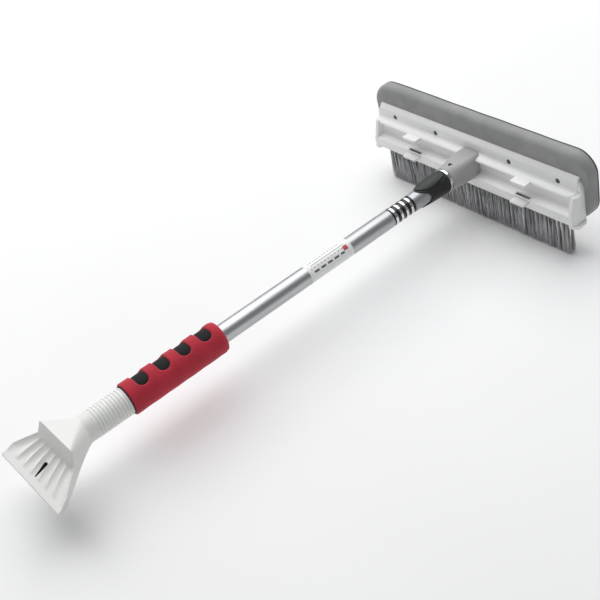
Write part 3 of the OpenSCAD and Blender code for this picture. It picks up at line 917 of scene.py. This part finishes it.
def make_pad():
    """Foam pad: a slab with big round corners and soft rims, a little wavy most of all at its ends."""
    corner = 22 * MM
    back_rim, back_rim_top, front_rim = 3.0 * MM, 6.8 * MM, 1.5 * MM
    wave_height, end_wave_height = 0.25 * MM, 0.35 * MM
    corner_steps, rim_steps, long_steps, short_steps = 12, 7, 36, 8
    y_half = (pad_high.y - pad_low.y) / 2
    z_mid = (pad_low.z + pad_high.z) / 2
    z_half = (pad_high.z - pad_low.z) / 2

    def outline():
        """Points of the outline with their outward directions."""
        points = []
        for sy, sz, first in ((1, 1, 0), (-1, 1, 90), (-1, -1, 180), (1, -1, 270)):
            centre = Vector((sy * (y_half - corner), sz * (z_half - corner)))
            for k in range(corner_steps + 1):
                a = math.radians(first + 90 * k / corner_steps)
                way = Vector((math.cos(a), math.sin(a)))
                points.append((centre + way * corner, way))
            start, way = points[-1]
            steps = long_steps if first in (0, 180) else short_steps
            gap = 2 * ((y_half if steps == long_steps else z_half) - corner)
            along = Vector((-way.y, way.x))
            for k in range(1, steps):
                points.append((start + along * gap * k / steps, way))
        return points

    bm = bmesh.new()
    rings = []
    quarter = [math.pi / 2 * k / rim_steps for k in range(rim_steps + 1)]
    for back, turns in ((True, quarter), (False, list(reversed(quarter)))):
        for turn in turns:
            ring = []
            for point, way in outline():
                upward = max(way.y, 0.0)
                rim = back_rim + (back_rim_top - back_rim) * upward if back else front_rim
                ends = ease((abs(point.x) - 110 * MM) / (35 * MM))
                ripple = 1 + math.sin(point.x * 95 + 1.3) * math.sin(point.x * 41 + point.y * 75)
                wave = (wave_height + end_wave_height * ends) * ripple
                place = point - way * (rim * (1 - math.sin(turn)) + wave)
                depth = rim * (1 - math.cos(turn))
                x = pad_low.x + depth if back else pad_high.x - depth
                ring.append(bm.verts.new((x, place.x, z_mid + place.y)))
            rings.append(ring)
    count = len(rings[0])
    for a, b in zip(rings, rings[1:]):
        for i in range(count):
            j = (i + 1) % count
            bm.faces.new((a[i], a[j], b[j], b[i]))
    bm.faces.new(rings[-1])
    # the back is open around the stiff plate: a pocket with its own walls and floor
    pocket = [(carrier_low.y, carrier_low.z), (carrier_high.y, carrier_low.z),
              (carrier_high.y, carrier_high.z), (carrier_low.y, carrier_high.z)]
    mouth = [bm.verts.new((pad_low.x, y, z)) for y, z in pocket]
    floor = [bm.verts.new((carrier_high.x, y, z)) for y, z in pocket]
    for i in range(4):
        j = (i + 1) % 4
        bm.faces.new((mouth[i], mouth[j], floor[j], floor[i]))
    bm.faces.new(floor)
    back = [bm.edges.get((rings[0][i], rings[0][(i + 1) % count])) for i in range(count)]
    back += [bm.edges.get((mouth[i], mouth[(i + 1) % 4])) for i in range(4)]
    bmesh.ops.triangle_fill(bm, edges=back, use_beauty=True)
    pad = to_object("foam_pad_skin", bm, "pad_foam", "head", ("foam_pad",), 40)


def make_bristles():
    """Three rows of tufts; every tuft fans out a little and its strands end unevenly."""
    pitch = 5.6 * MM
    margin = 2 * MM
    tuft_r = 1.35 * MM
    strands = 34
    draw = random.Random(7)
    for row in (1, 2, 3):
        low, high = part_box(f"bristle_row_{row}")
        bm = bmesh.new()
        tufts = int((high.y - low.y - 2 * margin) / pitch) + 1
        middle_x = (low.x + high.x) / 2
        for t in range(tufts):
            root_y = low.y + margin + pitch * t + (pitch / 2 if row == 2 else 0)
            if root_y > high.y - 1.5 * MM:
                continue
            for _ in range(strands):
                a = draw.uniform(0, TAU)
                r = tuft_r * math.sqrt(draw.random())
                root = Vector((middle_x + 0.8 * r * math.cos(a), root_y + r * math.sin(a), high.z))
                tip = Vector((middle_x + (root.x - middle_x) * 1.7 + draw.gauss(0, 0.35) * MM,
                              root_y + (root.y - root_y) * 1.9 + draw.gauss(0, 0.45) * MM,
                              low.z + abs(draw.gauss(0, 0.55)) * MM))
                add_strand(bm, root, tip, 0.24 * MM, draw.uniform(-0.5, 0.5) * MM)
        to_object(f"bristles_{row}", bm, "bristle", "head", (f"bristle_row_{row}",), 0)


def add_strand(bm, root, tip, radius, bend):
    """One filament: a thin three-sided prism that bends once and narrows at its tip."""
    sides = 3
    middle = (root + tip) / 2 + Vector((bend * 0.4, bend, 0))
    rings = []
    for place, scale in ((root, 1.0), (middle, 1.0), (tip, 0.6)):
        rings.append([bm.verts.new((place.x + radius * scale * math.cos(TAU * k / sides),
                                    place.y + radius * scale * math.sin(TAU * k / sides), place.z))
                      for k in range(sides)])
    for a, b in zip(rings, rings[1:]):
        for i in range(sides):
            j = (i + 1) % sides
            bm.faces.new((a[i], a[j], b[j], b[i]))
    bm.faces.new(rings[-1])
    bm.faces.new(list(reversed(rings[0])))


make_pad()
make_bristles()
for rounding in (("head_frame", "white_plastic", "head", 0.45 * MM),
                 ("bristle_block", "block_plastic", "head", 0.4 * MM),
                 ("head_socket", "grey_plastic", "head", 0.5 * MM),
                 ("thumb_latch", "latch_plastic", "latch", 0.35 * MM)):
    bevelled(*rounding)
